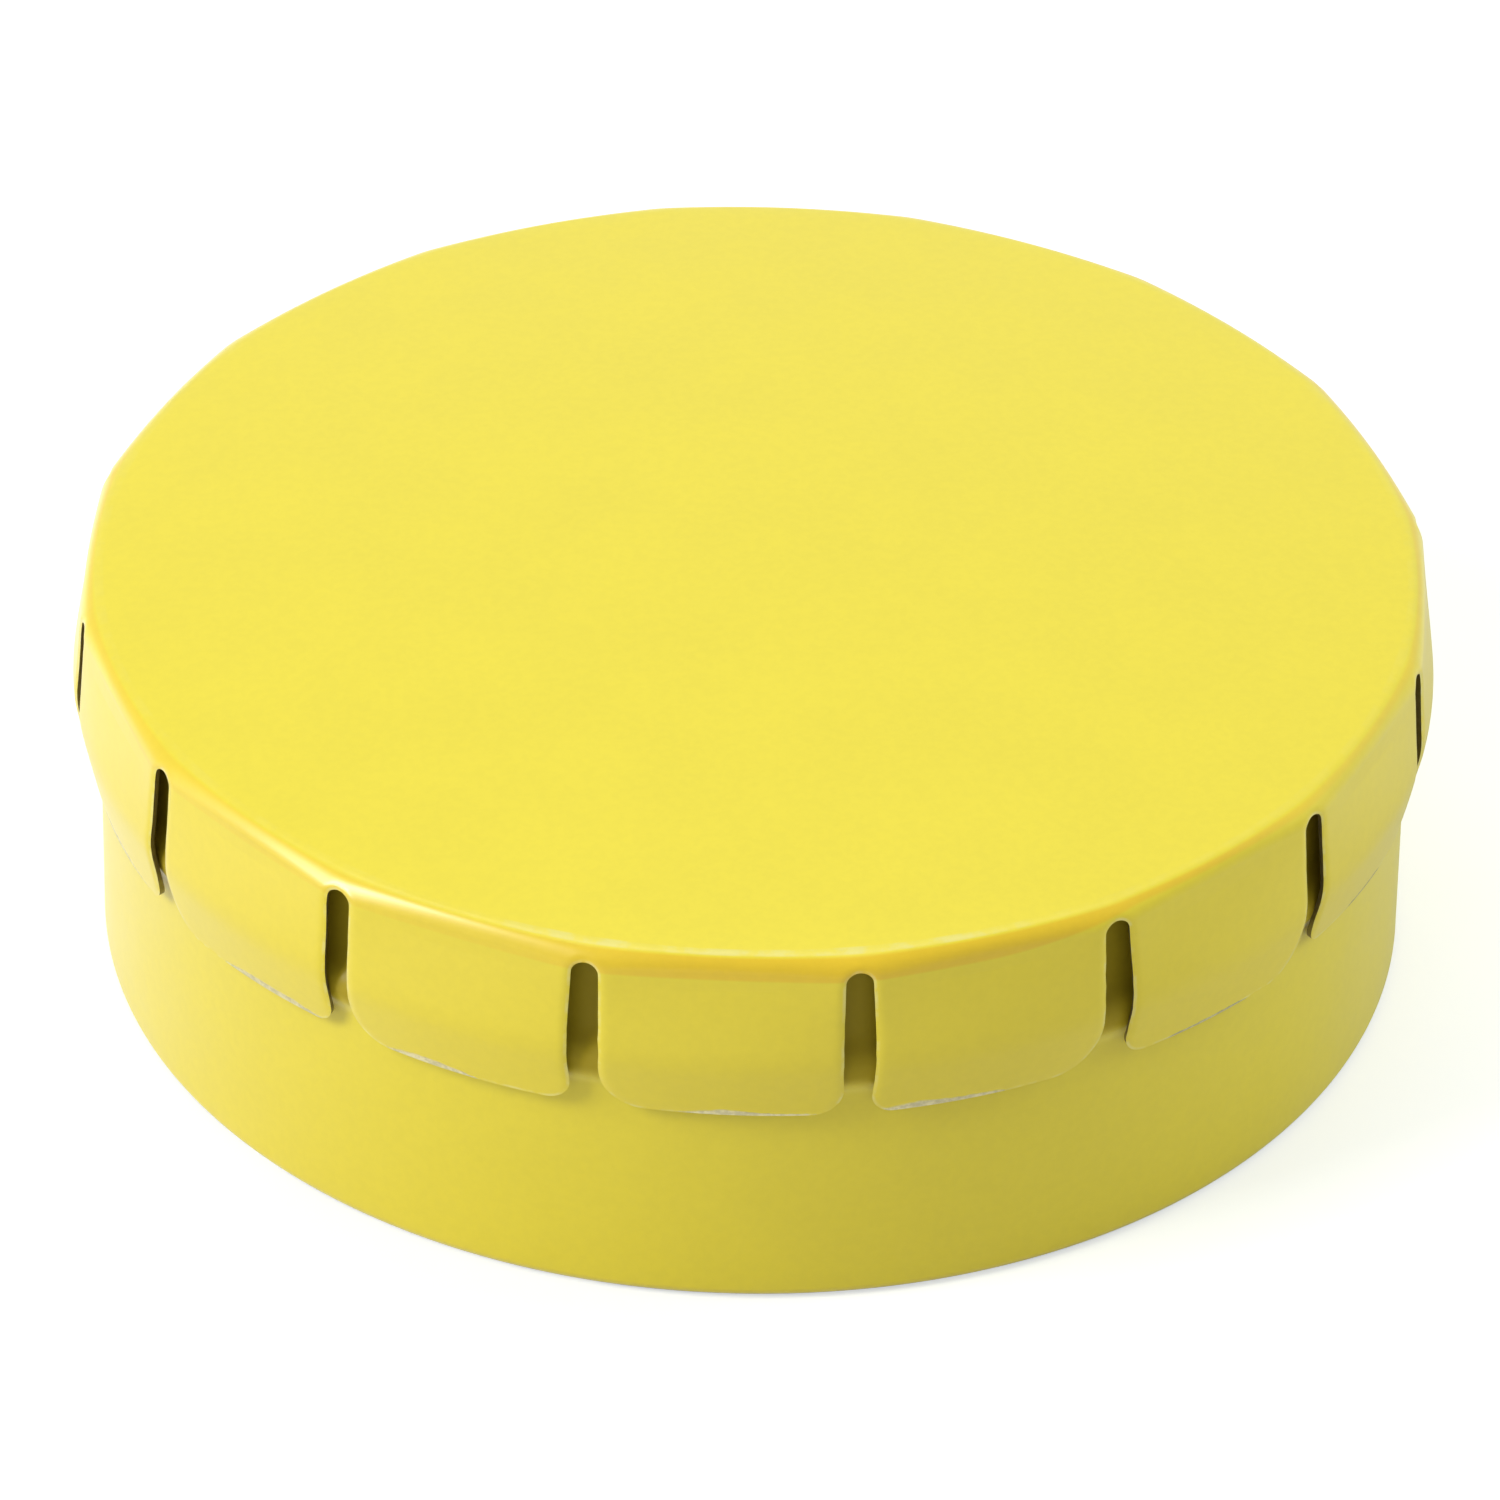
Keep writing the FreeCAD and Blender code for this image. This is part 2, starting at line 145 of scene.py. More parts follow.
class TinSizes(bpy.types.PropertyGroup):
    """Sizes of the two stampings"""

    can_radius: length("Can radius", "Outside of the can's wall", 24.2 * MM)
    can_height: length("Can height", "Foot to the top of the curl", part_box("can")[1].z)
    foot_radius: length("Foot radius", "Bend between wall and foot ring", 0.5 * MM)
    foot_ring_inner: length("Foot ring inside", "Inner edge of the flat foot ring", 21.5 * MM)
    floor_recess: length("Floor recess", "Floor above the foot ring", 0.4 * MM)
    recess_radius: length("Recess radius", "Bends of the step up to the floor", 0.5 * MM)
    neck_radius: length("Neck radius", "Outside of the neck above the ridge", 24.05 * MM)
    ridge_crest: length("Ridge crest", "Outside of the ridge that holds the tabs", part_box("can")[1].x)
    ridge_level: length("Ridge level", "Height of the ridge", 10.3 * MM)
    ridge_radius: length("Ridge radius", "Bend of the ridge", 1.2 * MM)
    root_radius: length("Ridge root radius", "Bends either side of the ridge", 1.0 * MM)
    curl_radius: length("Curl radius", "Outside of the rolled mouth", 0.5 * MM)
    curl_turn: angle("Curl turn", "How far the mouth is rolled over", 250)
    gauge: length("Sheet gauge", "Thickness of the tinplate", 0.23 * MM)
    crown_radial: length("Crown distance", "Axis to the centre of the lid's rounded edge", 24.02 * MM)
    crown_level: length("Crown level", "Height of the centre of the lid's rounded edge", 14.6 * MM)
    crown_radius: length("Crown radius", "Bend of the lid's rounded edge", 0.8 * MM)
    dome_rise: length("Dome rise", "Top of the dome above its edge", 1.1 * MM)
    bulge_reach: length("Bulge reach", "Outside of the tabs", 25.15 * MM)
    bulge_level: length("Bulge level", "Height of the tabs' bulge", 11.3 * MM)
    bulge_radius: length("Bulge radius", "Bend of the tabs' bulge", 4.0 * MM)
    tip_reach: length("Tip reach", "Outside of the tabs' tips", 24.70 * MM)
    tip_level: length("Tip level", "Height of the tabs' tips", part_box("lid_tab_01")[0].z)
    tab_count: IntProperty(name="Tabs", description="Tabs round the lid", default=16, min=4)
    tab_width: length("Tab width", "Straight across one tab", 8.723 * MM)
    corner_radius: length("Tab corner radius", "Lower corners of a tab", 1.3 * MM)
    slot_end_radius: length("Slot end radius", "Round end of a slot", 0.48 * MM)
    fold_level: length("Fold level", "Height of the middle of the slots' round ends", 14.38 * MM)
    join_level: length("Join level", "Height where the tabs begin to bend", 14.1 * MM)
    fold_flatness: FloatProperty(
        name="Fold flatness",
        description="From 0, round with the lid, to 1, straight along each tab's fold",
        default=0.7,
    )
    roll_depth: length("Edge roll", "How far the punched edges turn in", 0.09 * MM)
    roll_width: length("Edge roll width", "Width of the punched edges' turn", 0.32 * MM)
    panel_radius: length("Panel radius", "Edge of the part of the dome that is pressed in", 22.7 * MM)


class TinFinish(bpy.types.PropertyGroup):
    """Colours and wear of the lacquered tinplate, with painted shade, painted highlights and painted glints
    """

    lacquer: colour("Lacquer", "Yellow lacquer", (0.88, 0.74, 0.030))
    # A deeper yellow: the band round the lid's crown, and a little of it in the can
    deep_yellow: colour("Deeper yellow", "Deeper where it was drawn round the edge", (0.88, 0.60, 0.012))
    # Painted shade for the neck and ridge, where the lid's tabs shade them; the lacquer there is also duller
    neck: colour("Neck", "Thin lacquer on the neck that the tabs rub", (0.46, 0.345, 0.014))
    inside: colour("Inside", "Clear lacquer on tinplate", (0.66, 0.63, 0.55))
    tinplate: colour("Tinplate", "Bare metal along worn edges", (0.55, 0.50, 0.31))
    cut: colour("Cut edge", "Punched edges of the sheet", (0.26, 0.23, 0.15))
    speck: colour("Specks", "Dirt in the lacquer", (0.20, 0.16, 0.03))
    # Painted glints and painted highlights: pale spots and lines near punched edges and below the tabs
    painted_glint_colour: colour("Flecks", "Lacquer crazed pale beside punched edges", (0.95, 0.93, 0.55))
    # Painted highlight: a pale line along the edge of the top
    painted_highlight: colour("Painted edge highlight", "Lacquer rubbed pale round the edge of the top", (0.84, 0.77, 0.22))
    # Darker colour along the bottom of the foot
    foot_darkening: colour("Darker foot", "Dirt round the foot", (0.09, 0.075, 0.025))
    wear_width: length("Worn edge", "Width of bare metal along the tabs' lower edge", 0.27 * MM)


class TinStage(bpy.types.PropertyGroup):
    """Camera and studio"""

    azimuth: angle("Camera azimuth", "Round from the front", -9.03)
    elevation: angle("Camera elevation", "Above the horizon, from the middle of the foot", 36.17)
    distance: length("Camera distance", "From the middle of the foot", 433.2 * MM)
    pitch: angle("Camera pitch", "Below the horizon", 35.42)
    roll: angle("Camera roll", "About the line of sight", 0.93)
    lens: FloatProperty(name="Lens", description="Focal length in millimetres", default=276.8)
    shift: FloatProperty(name="Lens shift", description="Sideways, in widths of the picture", default=-0.0019)
    key: lamp_power("Key lamp", 5.0)
    overhead: lamp_power("Overhead lamp", 1.85)
    gloss: lamp_power("Gloss lamp", 16.0)
    fill: lamp_power("Fill lamp", 4.2)
    ambient: FloatProperty(name="Ambient", description="Strength of the world", default=0.36)
    mirrored: FloatProperty(
        name="Mirrored", description="How white the gloss sees the world, from ambient to white", default=0.85
    )


# Outlines of the sheets, as distance from the axis and height


def on_circle(centre, radius, turn):
    return (centre[0] + radius * math.cos(turn), centre[1] + radius * math.sin(turn))


def arc(centre, radius, start, end, steps):
    return [on_circle(centre, radius, start + (end - start) * i / steps) for i in range(steps + 1)]


def run(start, end, steps):
    return [
        (start[0] + (end[0] - start[0]) * i / steps, start[1] + (end[1] - start[1]) * i / steps)
        for i in range(steps + 1)
    ]


def chain(*pieces):
    """Joins pieces of an outline, each beginning where the one before it ends."""
    points = list(pieces[0])
    for piece in pieces[1:]:
        points.extend(piece[1:])
    return points


def bearing(start, end):
    return math.atan2(end[1] - start[1], end[0] - start[0])


class LidLine:
    """The lid's outside in half section: dome, crown, flare, bulge and hook."""

    def __init__(self, sizes):
        self.sizes = sizes
        self.crown = (sizes.crown_radial, sizes.crown_level)
        self.bulge = (sizes.bulge_reach - sizes.bulge_radius, sizes.bulge_level)
        self.tip = (sizes.tip_reach, sizes.tip_level)
        self.rim_slope = 2 * math.atan(sizes.dome_rise / sizes.crown_radial)
        self.dome_radius = sizes.crown_radius + sizes.crown_radial / math.sin(self.rim_slope)
        dome_drop = (self.dome_radius - sizes.crown_radius) * math.cos(self.rim_slope)
        self.dome = (0.0, sizes.crown_level - dome_drop)
        bend_ratio = (sizes.crown_radius - sizes.bulge_radius) / math.dist(self.crown, self.bulge)
        self.flare_angle = bearing(self.crown, self.bulge) + math.acos(bend_ratio)
        hook_ratio = sizes.bulge_radius / math.dist(self.bulge, self.tip)
        self.hook_angle = bearing(self.bulge, self.tip) + math.acos(hook_ratio)
        self.flare_start = on_circle(self.crown, sizes.crown_radius, self.flare_angle)
        self.flare_end = on_circle(self.bulge, sizes.bulge_radius, self.flare_angle)
        self.hook_start = on_circle(self.bulge, sizes.bulge_radius, self.hook_angle)

    def on_flare(self, level):
        share = (self.flare_start[1] - level) / (self.flare_start[1] - self.flare_end[1])
        return (self.flare_start[0] + (self.flare_end[0] - self.flare_start[0]) * share, level)

    def rim_points(self, level, steps):
        """From a level below the crown's top up over the crown, evenly: each point and the way it faces."""
        crown_radius = self.sizes.crown_radius
        top = math.pi / 2 - self.rim_slope
        straight = max(0.0, (self.flare_start[1] - level) / math.cos(self.flare_angle))
        start = self.flare_angle
        if not straight:
            start = math.asin((level - self.crown[1]) / crown_radius)
        whole = straight + (top - start) * crown_radius
        made = []
        for i in range(steps + 1):
            along = whole * i / steps
            if along < straight:
                made.append((*self.on_flare(level + along * math.cos(self.flare_angle)), self.flare_angle))
            else:
                facing = start + (along - straight) / crown_radius
                made.append((*on_circle(self.crown, crown_radius, facing), facing))
        return made

    def dome_point(self, distance):
        return (distance, self.dome[1] + math.sqrt(self.dome_radius**2 - distance**2))

    def skirt_point(self, to_tip):
        """The point at a distance up the sheet from the tip."""
        hook = math.dist(self.hook_start, self.tip)
        bend = (self.flare_angle - self.hook_angle) * self.sizes.bulge_radius
        if to_tip < hook:
            share = to_tip / hook
            return tuple(a + (b - a) * share for a, b in zip(self.tip, self.hook_start))
        if to_tip < hook + bend:
            turn = self.hook_angle + (to_tip - hook) / self.sizes.bulge_radius
            return on_circle(self.bulge, self.sizes.bulge_radius, turn)
        return self.on_flare(self.flare_end[1] + (to_tip - hook - bend) * math.cos(self.flare_angle))

    def tab_depths(self, straight_rows, corner_rows):
        """Distances from a tab's rows to its tip, from the join down, closer round the lower corners."""
        join = self.on_flare(self.sizes.join_level)
        bend = (self.flare_angle - self.hook_angle) * self.sizes.bulge_radius
        whole = math.dist(join, self.flare_end) + bend + math.dist(self.hook_start, self.tip)
        corner = self.sizes.corner_radius
        straight = [whole + (corner - whole) * i / straight_rows for i in range(straight_rows)]
        turns = [math.pi / 2 * i / corner_rows for i in range(corner_rows + 1)]
        return straight + [corner * (1 - math.sin(turn)) for turn in turns]


def can_points(sizes):
    """The can's outside, from the middle of the floor out and up to the end of the curl."""
    wall = sizes.can_radius
    step_angle = math.acos(1 - sizes.floor_recess / (2 * sizes.recess_radius))
    floor_edge = sizes.foot_ring_inner - 2 * sizes.recess_radius * math.sin(step_angle)
    floor_bend = (floor_edge, sizes.floor_recess - sizes.recess_radius)
    ring_bend = (sizes.foot_ring_inner, sizes.recess_radius)
    foot = (wall - sizes.foot_radius, sizes.foot_radius)
    ridge = (sizes.ridge_crest - sizes.ridge_radius, sizes.ridge_level)
    bend_span = sizes.ridge_radius + sizes.root_radius
    low_offset = wall + sizes.root_radius - ridge[0]
    high_offset = sizes.neck_radius + sizes.root_radius - ridge[0]
    low_root = (wall + sizes.root_radius, ridge[1] - math.sqrt(bend_span**2 - low_offset**2))
    high_root = (sizes.neck_radius + sizes.root_radius, ridge[1] + math.sqrt(bend_span**2 - high_offset**2))
    curl = (sizes.neck_radius - sizes.curl_radius, sizes.can_height - sizes.curl_radius)
    low_angle = bearing(ridge, low_root)
    high_angle = bearing(ridge, high_root)
    down = -math.pi / 2
    up = math.pi / 2
    return chain(
        run((0.0, sizes.floor_recess), (floor_edge, sizes.floor_recess), 24),
        arc(floor_bend, sizes.recess_radius, up, up - step_angle, 6),
        arc(ring_bend, sizes.recess_radius, down - step_angle, down, 6),
        run((sizes.foot_ring_inner, 0.0), (foot[0], 0.0), 6),
        arc(foot, sizes.foot_radius, down, 0.0, 10),
        run((wall, foot[1]), (wall, low_root[1]), 14),
        arc(low_root, sizes.root_radius, math.pi, math.pi + low_angle, 6),
        arc(ridge, sizes.ridge_radius, low_angle, high_angle, 14),
        arc(high_root, sizes.root_radius, math.pi + high_angle, math.pi, 6),
        run((sizes.neck_radius, high_root[1]), (sizes.neck_radius, curl[1]), 6),
        arc(curl, sizes.curl_radius, 0.0, sizes.curl_turn, 24),
    )


# Node trees: small helpers


class Term:
    """A socket of a node tree that plain arithmetic can be done on."""

    def __init__(self, tree, socket):
        self.tree = tree
        self.socket = socket

    def __add__(self, other):
        return calc(self.tree, "ADD", self, other)

    def __sub__(self, other):
        return calc(self.tree, "SUBTRACT", self, other)

    def __rsub__(self, other):
        return calc(self.tree, "SUBTRACT", other, self)

    def __mul__(self, other):
        return calc(self.tree, "MULTIPLY", self, other)

    def __truediv__(self, other):
        return calc(self.tree, "DIVIDE", self, other)

    def __abs__(self):
        return calc(self.tree, "ABSOLUTE", self)

    def at_least(self, low):
        return calc(self.tree, "MAXIMUM", self, low)

    def at_most(self, high):
        return calc(self.tree, "MINIMUM", self, high)

    def above(self, limit):
        """1 where the number is greater than the limit, and otherwise 0."""
        return calc(self.tree, "GREATER_THAN", self, limit)

    def root(self):
        return calc(self.tree, "SQRT", self)

    def sine(self):
        return calc(self.tree, "SINE", self)

    def cosine(self):
        return calc(self.tree, "COSINE", self)


class Outputs:
    """A node's outputs as terms, by name or number."""

    def __init__(self, tree, sockets):
        self.tree = tree
        self.sockets = sockets

    def __getitem__(self, key):
        return Term(self.tree, self.sockets[key])


def feed(tree, sockets, values):
    """Joins sockets to terms or sets their values; the terms of a list all join one socket."""
    for key, value in values.items():
        terms = value if isinstance(value, list) else [value]
        for term in terms:
            if isinstance(term, Term):
                tree.links.new(term.socket, sockets[key])
            else:
                sockets[key].default_value = term


def put(tree, kind, inputs=None, **settings):
    """Adds a node with its settings and inputs, and gives its outputs."""
    node = tree.nodes.new(kind)
    for name, value in settings.items():
        setattr(node, name, value)
    feed(tree, node.inputs, inputs or {})
    return Outputs(tree, node.outputs)


def calc(tree, operation, *values):
    return put(tree, "ShaderNodeMath", dict(enumerate(values)), operation=operation)[0]


def axes(tree, place):
    return put(tree, "ShaderNodeSeparateXYZ", {0: place})


def combined(tree, x, y, z):
    return put(tree, "ShaderNodeCombineXYZ", {0: x, 1: y, 2: z})[0]


def noise(tree, place, scale, detail, roughness):
    inputs = {"Vector": place, "Scale": scale, "Detail": detail, "Roughness": roughness}
    return put(tree, "ShaderNodeTexNoise", inputs)["Fac"]


def new_tree(name, kind, inputs, outputs):
    """A node tree with named sockets, given as pairs of name and socket type."""
    tree = bpy.data.node_groups.new(name, kind)
    for way, sockets in (("INPUT", inputs), ("OUTPUT", outputs)):
        for socket_name, socket_type in sockets:
            tree.interface.new_socket(name=socket_name, in_out=way, socket_type=socket_type)
    leave = tree.nodes.new("NodeGroupOutput")
    return tree, put(tree, "NodeGroupInput"), leave.inputs


def tree_named(name, make, *needs):
    return bpy.data.node_groups.get(name) or make(*needs)


# Node trees: the sheets' forms

GEOMETRY = "NodeSocketGeometry"
NUMBER = "NodeSocketFloat"
WHOLE = "NodeSocketInt"
MATERIAL = "NodeSocketMaterial"
SHADE = "NodeSocketColor"
PLACE = "NodeSocketVector"
SHEET_INPUTS = [("Gauge", NUMBER), ("Outside", MATERIAL), ("Inside", MATERIAL), ("Edge", MATERIAL)]


def welded(tree, mesh, distance):
    return put(tree, "GeometryNodeMergeByDistance", {"Geometry": mesh, "Distance": distance})["Geometry"]


def realized(tree, mesh):
    return put(tree, "GeometryNodeRealizeInstances", {"Geometry": mesh})["Geometry"]


def sheet_tree():
    """Gives an open surface the gauge of the sheet, inwards, and its three finishes."""
    inputs = [("Surface", GEOMETRY), *SHEET_INPUTS]
    tree, entry, leave = new_tree("Sheet gauge", "GeometryNodeTree", inputs, [("Sheet", GEOMETRY)])

    def finished(mesh, side, faces):
        inputs = {"Geometry": mesh, "Selection": faces, "Material": entry[side]}
        return put(tree, "GeometryNodeSetMaterial", inputs)["Geometry"]

    inputs = {"Mesh": entry["Surface"], "Offset Scale": entry["Gauge"] * -1.0, "Individual": False}
    lining = put(tree, "GeometryNodeExtrudeMesh", inputs, mode="FACES")
    turned = put(tree, "GeometryNodeFlipFaces", {"Mesh": lining["Mesh"]})["Mesh"]
    edge = finished(finished(turned, "Inside", lining["Top"]), "Edge", lining["Side"])
    outside = finished(entry["Surface"], "Outside", True)
    both = put(tree, "GeometryNodeJoinGeometry", {"Geometry": [edge, outside]})["Geometry"]
    feed(tree, leave, {"Sheet": realized(tree, welded(tree, both, SHEET_WELD))})
    return tree


def line_rows(tree, line, columns):
    """A grid with a row for each point of an outline: its mesh, its two shares, and each row's point."""
    count = put(tree, "GeometryNodeAttributeDomainSize", {"Geometry": line}, component="MESH")["Point Count"]
    grid = put(tree, "GeometryNodeMeshGrid", {"Vertices X": columns, "Vertices Y": count})
    share = axes(tree, grid["UV Map"])
    row = calc(tree, "ROUND", share["Y"] * (count - 1.0))
    here = put(tree, "GeometryNodeInputPosition")[0]
    inputs = {"Geometry": line, "Value": here, "Index": row}
    point = put(tree, "GeometryNodeSampleIndex", inputs, data_type="FLOAT_VECTOR", domain="POINT")["Value"]
    return grid["Mesh"], share, axes(tree, point)


def placed(tree, mesh, place):
    return put(tree, "GeometryNodeSetPosition", {"Geometry": mesh, "Position": place})["Geometry"]


def sheet_end(tree, sheet, surface, entry, leave):
    """Ends a tree in the sheet group."""
    inputs = {"Surface": surface, **{name: entry[name] for name, _ in SHEET_INPUTS}}
    made = put(tree, "GeometryNodeGroup", inputs, node_tree=sheet)["Sheet"]
    feed(tree, leave, {"Sheet": realized(tree, made)})


def turned_tree(sheet):
    """Turns an outline about the upright axis and gives it the sheet's gauge."""
    inputs = [("Outline", GEOMETRY), ("Segments", WHOLE), *SHEET_INPUTS]
    tree, entry, leave = new_tree("Turned sheet", "GeometryNodeTree", inputs, [("Sheet", GEOMETRY)])
    mesh, share, point = line_rows(tree, entry["Outline"], entry["Segments"] + 1.0)
    turn = share["X"] * (2 * math.pi)
    place = combined(tree, point["X"] * turn.cosine(), point["X"] * turn.sine(), point["Z"])
    sheet_end(tree, sheet, welded(tree, placed(tree, mesh, place), SEAM_WELD), entry, leave)
    return tree


def either(chosen, first, second):
    """The first value where chosen is 1, and otherwise the second."""
    return first * chosen + second * (1.0 - chosen)


TAB_NUMBERS = (
    "Direction", "Width", "Drop", "Left corner", "Right corner", "Left bow", "Right bow", "Splay", "Twist",
    "Wear middle", "Wear reach", "Unevenness", "Flatness", "Edge roll", "Roll width",
)


def tab_tree(sheet):
    """One spring tab, hung from the lid's edge: its outline's points hold the distance to the tip in Y."""
    numbers = [(name, NUMBER) for name in TAB_NUMBERS]
    inputs = [("Outline", GEOMETRY), ("Columns", WHOLE), *numbers, *SHEET_INPUTS]
    tree, entry, leave = new_tree("Spring tab", "GeometryNodeTree", inputs, [("Sheet", GEOMETRY)])
    mesh, share, point = line_rows(tree, entry["Outline"], entry["Columns"])
    to_tip = point["Y"]
    # The columns stand closer together towards the tab's two sides
    even = 1.0 - share["X"] * 2.0
    side = even * (1.5 - even * even * 0.5)
    down = 1.0 - to_tip / entry["Drop"]
    on_right = side.above(0.0)

    # Half width, narrowed by the rounded corner, swelled by the bow and punched a little unevenly
    corner = either(on_right, entry["Right corner"], entry["Left corner"])
    bow = either(on_right, entry["Right bow"], entry["Left bow"])
    below = corner - to_tip
    under = below.at_least(0.0)
    narrowing = corner - (corner * corner - under * under).at_least(0.0).root()
    swell = down * (1.0 - down) * 4.0
    spot = combined(tree, entry["Direction"], to_tip * 900.0, on_right * 5.0)
    wobble = noise(tree, spot, 1.0, 2.0, 0.6) - 0.5
    started = (down * 5.0).at_most(1.0)
    half = entry["Width"] * 0.5
    full = half + (bow * swell + wobble * started * entry["Unevenness"])
    across = side * (full - narrowing)

    # Distance to the nearest edge, round the corner too
    past = abs(across) - (full - corner)
    beside = past.at_least(0.0)
    away = (beside * beside + under * under).root()
    within = past.at_least(below).at_most(0.0)
    to_edge = (corner - away - within).at_least(0.0)

    # The punched sides are rolled in, less so near the tip
    near = (1.0 - to_edge / entry["Roll width"]).at_least(0.0)
    turned = (to_tip / (entry["Roll width"] * 4.0)).at_most(1.0)
    roll = near * near * turned * entry["Edge roll"]
    lean = entry["Splay"] + entry["Twist"] * side
    out = point["X"] + lean * (down * down) - roll
    ahead = (out * out - across * across).root()

    # The fold is straighter than the round lid, and the tab comes round again towards its tip
    deepest = half * half / (out * 2.0)
    moved = out - ahead - deepest * FOLD_SHIFT
    ease = calc(tree, "POWER", 1.0 - down, 3.0)
    ahead = ahead + moved * ease * entry["Flatness"]
    cosine = entry["Direction"].cosine()
    sine = entry["Direction"].sine()
    place = combined(tree, ahead * cosine - across * sine, ahead * sine + across * cosine, point["Z"])

    # The tip's distance grows beyond the stretch that is worn
    beyond = (abs(side - entry["Wear middle"]) - entry["Wear reach"]).at_least(0.0)
    to_wear = to_tip + beyond * WEAR_FADE
    for name, value in (("tip_distance", to_wear), ("edge_distance", to_edge)):
        inputs = {"Geometry": mesh, "Name": name, "Value": value}
        store = put(tree, "GeometryNodeStoreNamedAttribute", inputs, data_type="FLOAT", domain="POINT")
        mesh = store["Geometry"]
    sheet_end(tree, sheet, placed(tree, mesh, place), entry, leave)
    return tree


def sheet_group():
    return tree_named("Sheet gauge", sheet_tree)


def outline_mesh(name, points, depths=None):
    """An outline as a line of vertices; depths go in Y."""
    mesh = bpy.data.meshes.new(name)
    depths = depths or [0.0] * len(points)
    vertices = [(point[0], depth, point[1]) for point, depth in zip(points, depths)]
    mesh.from_pydata(vertices, [(i, i + 1) for i in range(len(points) - 1)], [])
    return mesh


def formed_piece(name, mesh, tree, inputs):
    """Runs a geometry tree on a mesh and keeps the result as a plain mesh object."""
    piece = bpy.data.objects.new(name, mesh)
    bpy.context.scene.collection.objects.link(piece)
    modifier = piece.modifiers.new("Form", "NODES")
    modifier.node_group = tree
    for item in tree.interface.items_tree:
        if item.item_type == "SOCKET" and item.in_out == "INPUT" and item.name in inputs:
            modifier[item.identifier] = inputs[item.name]
    graph = bpy.context.evaluated_depsgraph_get()
    made = bpy.data.meshes.new_from_object(
        piece.evaluated_get(graph), preserve_all_data_layers=True, depsgraph=graph
    )
    piece.modifiers.clear()
    piece.data = made
    made.name = name
    if not made.polygons:
        raise RuntimeError(f"{name} came out empty")
    made.shade_smooth()
    made.set_sharp_from_angle(angle=SHARP_ANGLE)
    return piece


# Finishes


def group_node(tree, name, make, **values):
    """A shader group and its inputs, whose names have an underscore for each space."""
    inputs = {key.replace("_", " "): value for key, value in values.items()}
    return put(tree, "ShaderNodeGroup", inputs, node_tree=tree_named(name, make))


def between(tree, value, low, high, out_low=0.0, out_high=1.0):
    """Goes smoothly from out_low to out_high while the value goes from low to high."""
    inputs = {"Value": value, "From Min": low, "From Max": high, "To Min": out_low, "To Max": out_high}
    return put(tree, "ShaderNodeMapRange", inputs, interpolation_type="SMOOTHSTEP")["Result"]


def mixed(tree, share, first, second):
    return put(tree, "ShaderNodeMix", {"Factor": share, 6: first, 7: second}, data_type="RGBA")[2]


def scaled(tree, shade, tone):
    return put(tree, "ShaderNodeVectorMath", {0: shade, "Scale": tone}, operation="SCALE")[0]


def scattered(tree, place, scale, limit):
    """Scattered cells: the distance to the nearest middle, and 1 where its draw is above the limit."""
    cells = put(tree, "ShaderNodeTexVoronoi", {"Vector": place, "Scale": scale}, feature="F1")
    draw = put(tree, "ShaderNodeSeparateColor", {0: cells["Color"]})[0]
    return cells["Distance"], draw.above(limit)


def lacquer_skin():
    """Mottling, dirt specks and the fine unevenness of a stoved lacquer."""
    inputs = [("Place", PLACE), ("Colour", SHADE), ("Speck colour", SHADE), ("Roughness", NUMBER)]
    outputs = [("Colour", SHADE), ("Roughness", NUMBER), ("Height", NUMBER)]
    tree, entry, leave = new_tree("Lacquer skin", "ShaderNodeTree", inputs, outputs)
    cloud = noise(tree, entry["Place"], 260.0, 3.0, 0.55)
    grain = noise(tree, entry["Place"], 2600.0, 2.0, 0.6)
    peel = noise(tree, entry["Place"], 1100.0, 2.0, 0.45)
    tone = between(tree, cloud, 0.3, 0.7, 0.990, 1.008) + between(tree, grain, 0.3, 0.7, -0.012, 0.012)
    distance, chosen = scattered(tree, entry["Place"], 240.0, 0.965)
    speck = between(tree, distance, 0.010, 0.024, 1.0, 0.0) * chosen * 0.65
    feed(tree, leave, {
        "Colour": mixed(tree, speck, scaled(tree, entry["Colour"], tone), entry["Speck colour"]),
        "Roughness": entry["Roughness"] + between(tree, cloud, 0.3, 0.7, -0.03, 0.05),
        "Height": peel + grain * 0.15,
    })
    return tree


def edge_wear():
    """How far the lacquer is worn off near an edge, from the distance to it, ragged along its length."""
    inputs = [("Place", PLACE), ("Distance", NUMBER), ("Width", NUMBER), ("Raggedness", NUMBER)]
    tree, entry, leave = new_tree("Edge wear", "ShaderNodeTree", inputs, [("Bare", NUMBER)])
    patches = between(tree, noise(tree, entry["Place"], 190.0, 1.0, 0.5), 0.40, 0.60, 0.35, 1.1)
    fine = noise(tree, entry["Place"], 2600.0, 2.0, 0.6) - 0.5
    limit = (entry["Width"] * (patches + fine * entry["Raggedness"])).at_least(1e-6)
    feed(tree, leave, {"Bare": between(tree, entry["Distance"] / limit, 0.75, 1.15, 1.0, 0.0)})
    return tree


def painted_glints():
    """Small pale spots of painted glint in the lacquer, where the share lets them."""
    inputs = [("Place", PLACE), ("Share", NUMBER)]
    tree, entry, leave = new_tree("Painted glints", "ShaderNodeTree", inputs, [("Glint", NUMBER)])
    distance, chosen = scattered(tree, entry["Place"], 620.0, 0.80)
    ragged = noise(tree, entry["Place"], 5200.0, 2.0, 0.6) * 0.10
    spot = between(tree, distance + ragged, 0.07, 0.14, 1.0, 0.0)
    feed(tree, leave, {"Glint": spot * chosen * entry["Share"]})
    return tree


